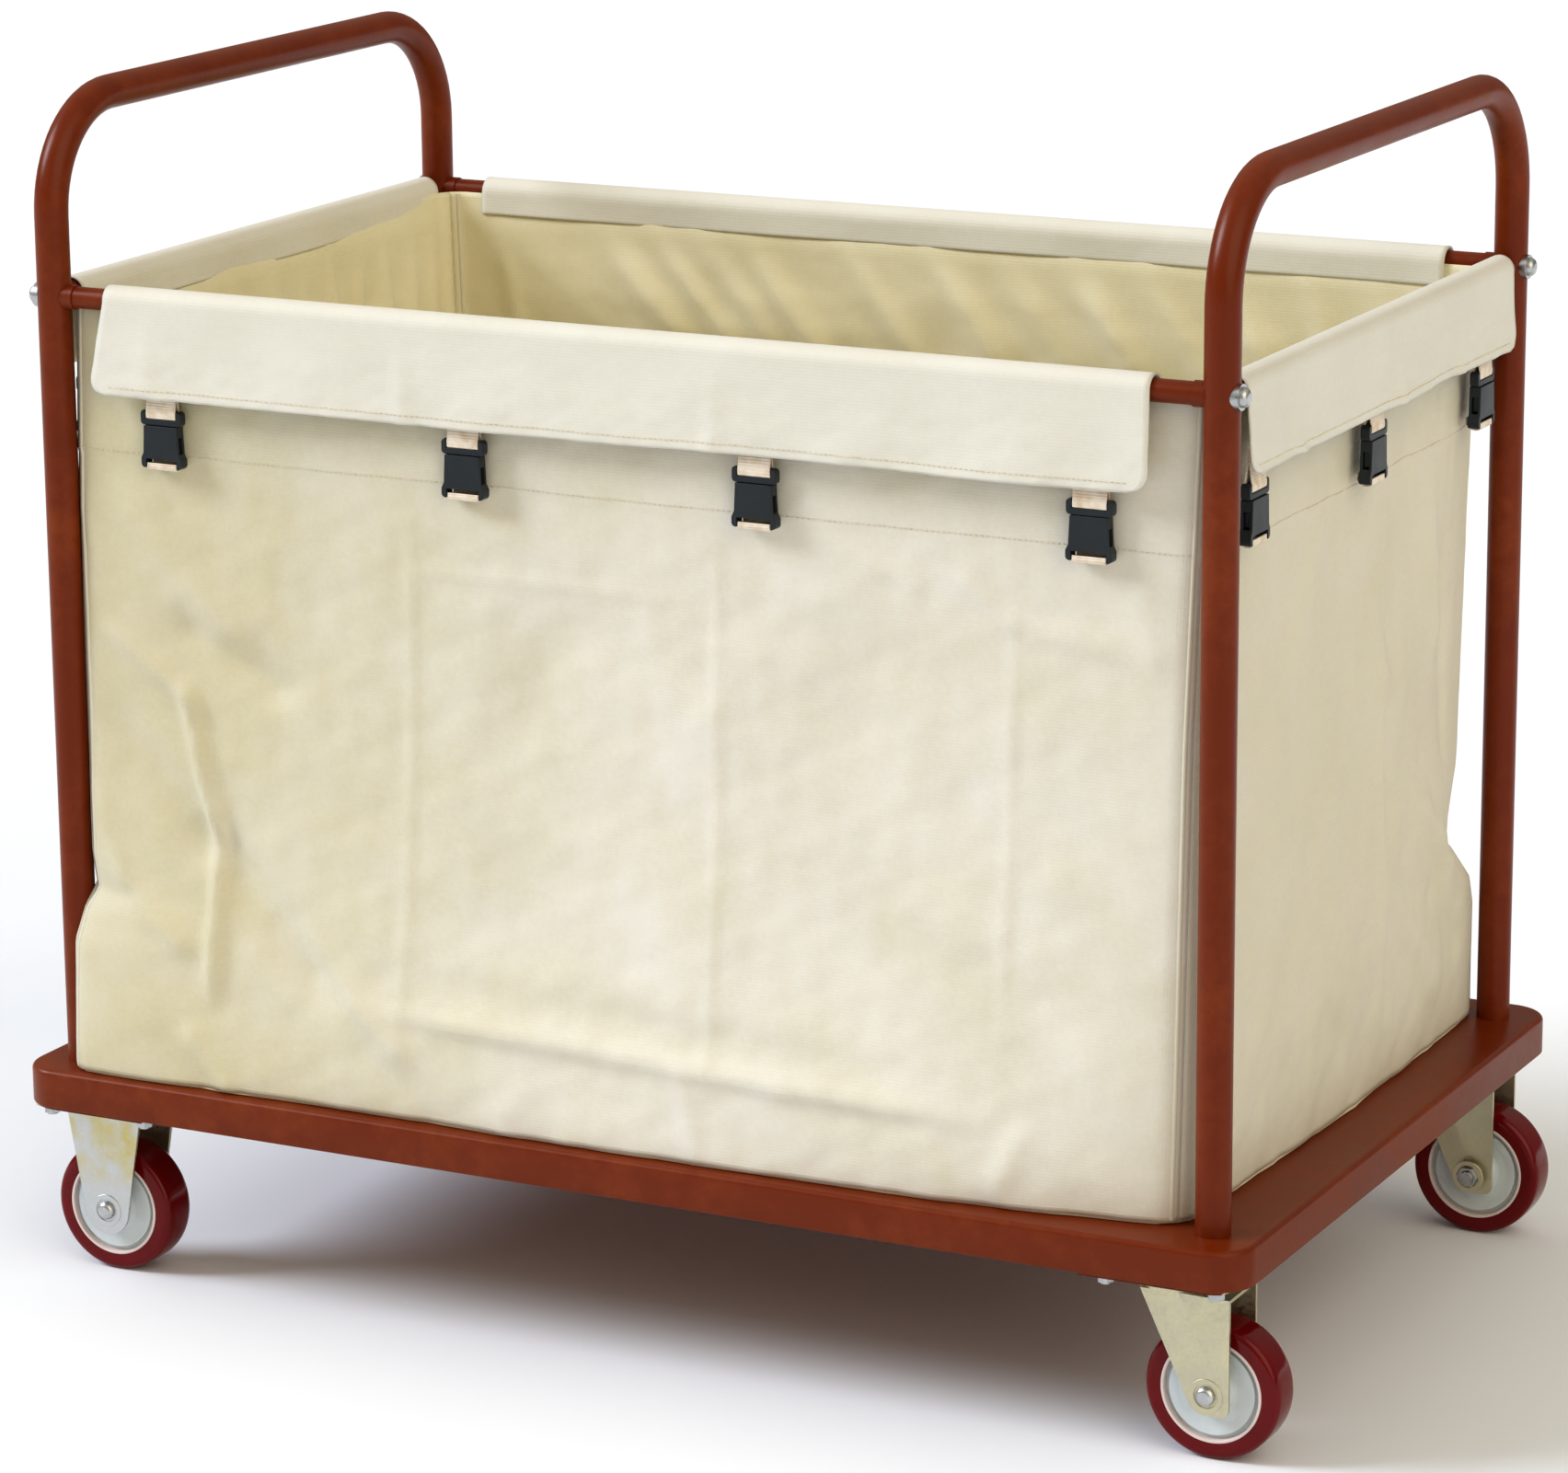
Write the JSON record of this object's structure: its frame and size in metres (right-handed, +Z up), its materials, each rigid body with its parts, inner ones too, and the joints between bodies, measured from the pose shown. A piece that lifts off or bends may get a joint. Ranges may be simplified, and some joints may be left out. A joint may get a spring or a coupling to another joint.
{
  "type": "housekeeping cart",
  "caption": "Linen cart: a steel deck on rigid and swivel castors, two tube hoops with push handles, and a canvas bag hung from rails and held by side-release buckles.",
  "frame": {"origin": "on the floor under the middle of the deck", "axes": "+X along the cart towards the swivel castors, -Y is the front, +Z up"},
  "size_m": [1.001, 0.63, 0.896],
  "materials": {
    "powder_coat": "satin red-brown powder coat",
    "zinc_plate": "bright zinc plate",
    "castor_zinc": "bright zinc plate on pressed steel",
    "bearing_steel": "ground bearing steel",
    "tyre": "glossy red polyurethane",
    "wheel_core": "pale blue-grey moulded nylon",
    "canvas": "cream canvas",
    "webbing": "cream woven webbing",
    "buckle_plastic": "black acetal"
  },
  "bodies": {
    "chassis": {"back_flap": "canvas", "back_left_bracket": "castor_zinc", "back_rail": "powder_coat", "back_right_swivel_plate": "castor_zinc", "bag_body": "canvas", "buckle_bodies": "buckle_plastic", "castor_fixings": "zinc_plate", "deck": "powder_coat", "front_flap": "canvas", "front_left_bracket": "castor_zinc", "front_rail": "powder_coat", "front_right_swivel_plate": "castor_zinc", "kingpins": "zinc_plate", "left_castor_channel": "powder_coat", "left_cross_tube": "powder_coat", "left_flap": "canvas", "left_hoop": "powder_coat", "leg_fixings": "zinc_plate", "rail_bolts": "zinc_plate", "rail_end_fittings": "zinc_plate", "right_castor_channel": "powder_coat", "right_cross_tube": "powder_coat", "right_flap": "canvas", "right_hoop": "powder_coat", "rigid_axles": "zinc_plate", "webbing_loops": "webbing"},
    "back_left_wheel": {"back_left_bearings": "bearing_steel", "back_left_tyre": "tyre", "back_left_wheel_core": "wheel_core"},
    "back_right_swivel": {"back_right_axle": "zinc_plate", "back_right_ball_ring": "bearing_steel", "back_right_fork": "castor_zinc"},
    "back_right_wheel": {"back_right_bearings": "bearing_steel", "back_right_tyre": "tyre", "back_right_wheel_core": "wheel_core"},
    "back_tongue_1": {"back_tongue_1": "buckle_plastic"},
    "back_tongue_2": {"back_tongue_2": "buckle_plastic"},
    "back_tongue_3": {"back_tongue_3": "buckle_plastic"},
    "back_tongue_4": {"back_tongue_4": "buckle_plastic"},
    "front_left_wheel": {"front_left_bearings": "bearing_steel", "front_left_tyre": "tyre", "front_left_wheel_core": "wheel_core"},
    "front_right_swivel": {"front_right_axle": "zinc_plate", "front_right_ball_ring": "bearing_steel", "front_right_fork": "castor_zinc"},
    "front_right_wheel": {"front_right_bearings": "bearing_steel", "front_right_tyre": "tyre", "front_right_wheel_core": "wheel_core"},
    "front_tongue_1": {"front_tongue_1": "buckle_plastic"},
    "front_tongue_2": {"front_tongue_2": "buckle_plastic"},
    "front_tongue_3": {"front_tongue_3": "buckle_plastic"},
    "front_tongue_4": {"front_tongue_4": "buckle_plastic"},
    "left_tongue_1": {"left_tongue_1": "buckle_plastic"},
    "left_tongue_2": {"left_tongue_2": "buckle_plastic"},
    "left_tongue_3": {"left_tongue_3": "buckle_plastic"},
    "right_tongue_1": {"right_tongue_1": "buckle_plastic"},
    "right_tongue_2": {"right_tongue_2": "buckle_plastic"},
    "right_tongue_3": {"right_tongue_3": "buckle_plastic"}
  },
  "joints": [
    {"name": "front_left_roll", "type": "hinge", "parent": "chassis", "child": "front_left_wheel", "pos_m": [-0.438, -0.26, 0.05], "axis": [0, 1, 0], "continuous": true},
    {"name": "front_right_turn", "type": "hinge", "parent": "chassis", "child": "front_right_swivel", "pos_m": [0.426, -0.26, 0.12], "axis": [0, 0, 1], "continuous": true},
    {"name": "front_right_roll", "type": "hinge", "parent": "front_right_swivel", "child": "front_right_wheel", "pos_m": [0.4575, -0.26, 0.05], "axis": [0, 1, 0], "continuous": true},
    {"name": "back_left_roll", "type": "hinge", "parent": "chassis", "child": "back_left_wheel", "pos_m": [-0.438, 0.26, 0.05], "axis": [0, 1, 0], "continuous": true},
    {"name": "back_right_turn", "type": "hinge", "parent": "chassis", "child": "back_right_swivel", "pos_m": [0.426, 0.26, 0.12], "axis": [0, 0, 1], "continuous": true},
    {"name": "back_right_roll", "type": "hinge", "parent": "back_right_swivel", "child": "back_right_wheel", "pos_m": [0.4575, 0.26, 0.05], "axis": [0, 1, 0], "continuous": true},
    {"name": "back_tongue_1_pull", "type": "slide", "parent": "chassis", "child": "back_tongue_1", "axis": [0, 0, 1], "range_m": [0, 0.018]},
    {"name": "back_tongue_2_pull", "type": "slide", "parent": "chassis", "child": "back_tongue_2", "axis": [0, 0, 1], "range_m": [0, 0.018]},
    {"name": "back_tongue_3_pull", "type": "slide", "parent": "chassis", "child": "back_tongue_3", "axis": [0, 0, 1], "range_m": [0, 0.018]},
    {"name": "back_tongue_4_pull", "type": "slide", "parent": "chassis", "child": "back_tongue_4", "axis": [0, 0, 1], "range_m": [0, 0.018]},
    {"name": "front_tongue_1_pull", "type": "slide", "parent": "chassis", "child": "front_tongue_1", "axis": [0, 0, 1], "range_m": [0, 0.018]},
    {"name": "front_tongue_2_pull", "type": "slide", "parent": "chassis", "child": "front_tongue_2", "axis": [0, 0, 1], "range_m": [0, 0.018]},
    {"name": "front_tongue_3_pull", "type": "slide", "parent": "chassis", "child": "front_tongue_3", "axis": [0, 0, 1], "range_m": [0, 0.018]},
    {"name": "front_tongue_4_pull", "type": "slide", "parent": "chassis", "child": "front_tongue_4", "axis": [0, 0, 1], "range_m": [0, 0.018]},
    {"name": "left_tongue_1_pull", "type": "slide", "parent": "chassis", "child": "left_tongue_1", "axis": [0, 0, 1], "range_m": [0, 0.018]},
    {"name": "left_tongue_2_pull", "type": "slide", "parent": "chassis", "child": "left_tongue_2", "axis": [0, 0, 1], "range_m": [0, 0.018]},
    {"name": "left_tongue_3_pull", "type": "slide", "parent": "chassis", "child": "left_tongue_3", "axis": [0, 0, 1], "range_m": [0, 0.018]},
    {"name": "right_tongue_1_pull", "type": "slide", "parent": "chassis", "child": "right_tongue_1", "axis": [0, 0, 1], "range_m": [0, 0.018]},
    {"name": "right_tongue_2_pull", "type": "slide", "parent": "chassis", "child": "right_tongue_2", "axis": [0, 0, 1], "range_m": [0, 0.018]},
    {"name": "right_tongue_3_pull", "type": "slide", "parent": "chassis", "child": "right_tongue_3", "axis": [0, 0, 1], "range_m": [0, 0.018]}
  ]
}
